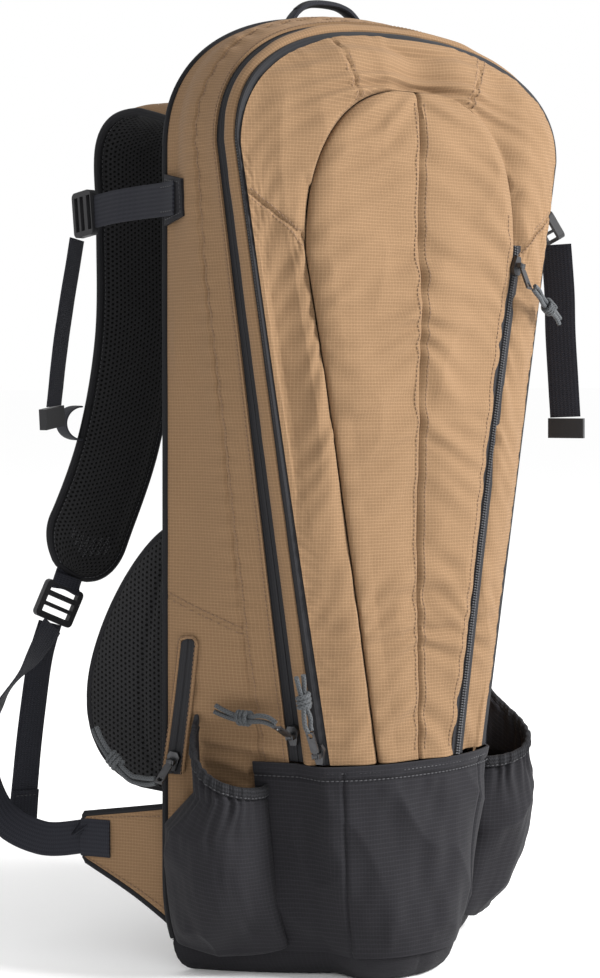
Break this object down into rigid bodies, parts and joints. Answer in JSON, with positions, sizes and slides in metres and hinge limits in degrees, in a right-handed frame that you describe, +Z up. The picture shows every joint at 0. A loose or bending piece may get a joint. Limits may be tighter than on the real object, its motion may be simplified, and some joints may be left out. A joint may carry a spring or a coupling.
{
  "type": "hunting backpack",
  "caption": "Tall tapered clamshell hunting backpack with perimeter zips, padded back, shoulder straps, bottle pockets and compression straps.",
  "frame": {"origin": "in the flat base face, on the middle plane, near the middle of the bag's depth", "axes": "+Z up along the bag, -Y towards the front zips, +Y towards the wearer, +X to the bag's right as its front is seen"},
  "size_m": [0.4888, 0.2773, 0.729],
  "materials": {
    "tan_ripstop": "matte ripstop weave",
    "black_nylon": "matte pack cloth",
    "black_mesh": "matte spacer mesh",
    "foam": "matte closed-cell foam",
    "frame_plastic": "satin",
    "elastic": "matte ribbed",
    "zip_tape": "matte",
    "zip_metal": "satin dark",
    "pull_cord": "matte braided",
    "buckle_plastic": "matte",
    "webbing": "matte woven"
  },
  "bodies": {
    "bag": {"main_shell": "tan_ripstop", "base_panel": "black_nylon", "front_lower_panel": "black_nylon", "back_panel": "black_mesh", "back_foam": "foam", "frame_sheet": "frame_plastic", "back_pads": "black_mesh", "left_hip_pad": "black_mesh", "right_hip_pad": "black_mesh", "strap_yoke": "black_nylon", "back_lining": "tan_ripstop", "hydration_sleeve": "black_nylon", "left_side_pocket": "black_nylon", "right_side_pocket": "black_nylon", "left_pocket_elastic": "elastic", "right_pocket_elastic": "elastic", "main_zip_shell_tape": "zip_tape", "side_zip_tape": "zip_tape", "left_wing": "tan_ripstop", "right_wing": "tan_ripstop", "left_wing_webbing": "webbing", "right_wing_webbing": "webbing", "compression_patches": "black_nylon", "left_compression_webbing": "webbing", "right_compression_webbing": "webbing", "left_compression_buckle": "buckle_plastic", "right_compression_buckle": "buckle_plastic"},
    "main_flap": {"mid_gusset": "tan_ripstop", "main_zip_flap_tape": "zip_tape", "front_zip_gusset_tape": "zip_tape", "divider_panel": "tan_ripstop"},
    "front_pouch": {"front_cover": "tan_ripstop", "center_panel": "tan_ripstop", "front_zip_cover_tape": "zip_tape", "pocket_zip_tape": "zip_tape"},
    "main_slider": {"main_zip_slider": "zip_metal"},
    "main_pull": {"main_zip_puller": "zip_metal", "main_zip_cord": "pull_cord"},
    "front_slider": {"front_zip_slider": "zip_metal"},
    "front_pull": {"front_zip_puller": "zip_metal", "front_zip_cord": "pull_cord"},
    "pocket_slider": {"pocket_zip_slider": "zip_metal"},
    "pocket_pull": {"pocket_zip_puller": "zip_metal", "pocket_zip_cord": "pull_cord"},
    "side_slider": {"side_zip_slider": "zip_metal"},
    "side_pull": {"side_zip_puller": "zip_metal", "side_zip_cord": "pull_cord"},
    "left_strap": {"left_strap_pad": "black_mesh", "left_strap_loop": "webbing"},
    "right_strap": {"right_strap_pad": "black_mesh", "right_strap_loop": "webbing"},
    "left_lock": {"left_ladder_lock": "buckle_plastic", "left_strap_tail": "webbing"},
    "right_lock": {"right_ladder_lock": "buckle_plastic", "right_strap_tail": "webbing"},
    "left_tail": {"left_compression_tail": "webbing", "left_tail_clip": "buckle_plastic"},
    "right_tail": {"right_compression_tail": "webbing", "right_tail_clip": "buckle_plastic"},
    "handle": {"haul_handle": "webbing"}
  },
  "joints": [
    {"name": "main_flap_open", "type": "hinge", "parent": "bag", "child": "main_flap", "pos_m": [0, -0.083, 0.16], "axis": [1, 0, 0], "range_deg": [0, 65]},
    {"name": "front_pouch_open", "type": "hinge", "parent": "main_flap", "child": "front_pouch", "pos_m": [0, -0.083, 0.16], "axis": [1, 0, 0], "range_deg": [0, 40]},
    {"name": "main_slider_run", "type": "slide", "parent": "main_flap", "child": "main_slider", "axis": [-0.1426, 0, 0.9898], "range_m": [0, 0.1]},
    {"name": "main_pull_swing", "type": "hinge", "parent": "main_slider", "child": "main_pull", "pos_m": [-0.08749, -0.04183, 0.17905], "axis": [-0.4851, 0.8716, -0.0699], "range_deg": [-20, 0]},
    {"name": "front_slider_run", "type": "slide", "parent": "front_pouch", "child": "front_slider", "axis": [-0.1542, 0, 0.988], "range_m": [0, 0.12]},
    {"name": "front_pull_swing", "type": "hinge", "parent": "front_slider", "child": "front_pull", "pos_m": [-0.07877, -0.06335, 0.16816], "axis": [-0.5342, 0.8412, -0.0834], "range_deg": [-20, 0]},
    {"name": "pocket_slider_run", "type": "slide", "parent": "front_pouch", "child": "pocket_slider", "axis": [-0.1685, -0.0137, -0.9856], "range_m": [0, 0.12]},
    {"name": "pocket_pull_swing", "type": "hinge", "parent": "pocket_slider", "child": "pocket_pull", "pos_m": [0.09184, -0.07898, 0.51962], "axis": [0.9394, 0.3006, -0.1648], "range_deg": [-20, 0]},
    {"name": "side_slider_run", "type": "slide", "parent": "bag", "child": "side_slider", "axis": [0.0609, -0.1287, 0.9898], "range_m": [0, 0.075]},
    {"name": "side_pull_swing", "type": "hinge", "parent": "side_slider", "child": "side_pull", "pos_m": [-0.1466, 0.02885, 0.15583], "axis": [-0.5676, 0.8113, 0.1404], "range_deg": [0, 25]},
    {"name": "left_strap_swing", "type": "hinge", "parent": "bag", "child": "left_strap", "pos_m": [0, 0.05, 0.612], "axis": [1, 0, 0], "range_deg": [0, 12]},
    {"name": "right_strap_swing", "type": "hinge", "parent": "bag", "child": "right_strap", "pos_m": [0, 0.05, 0.612], "axis": [1, 0, 0], "range_deg": [0, 12]},
    {"name": "left_lock_tilt", "type": "hinge", "parent": "left_strap", "child": "left_lock", "pos_m": [-0.167, 0.173, 0.267], "axis": [0.8997, 0.1586, -0.4067], "range_deg": [0, 20]},
    {"name": "right_lock_tilt", "type": "hinge", "parent": "right_strap", "child": "right_lock", "pos_m": [0.167, 0.173, 0.267], "axis": [0.8997, -0.1586, 0.4067], "range_deg": [0, 20]},
    {"name": "left_tail_swing", "type": "hinge", "parent": "bag", "child": "left_tail", "pos_m": [-0.166, 0.144, 0.549], "axis": [0, 1, 0], "range_deg": [-5, 25]},
    {"name": "right_tail_swing", "type": "hinge", "parent": "bag", "child": "right_tail", "pos_m": [0.178, -0.01, 0.537], "axis": [0, 1, 0], "range_deg": [-25, 6]},
    {"name": "handle_fold", "type": "hinge", "parent": "bag", "child": "handle", "pos_m": [0, 0.0523, 0.664], "axis": [-1, 0, 0], "range_deg": [0, 75]}
  ]
}
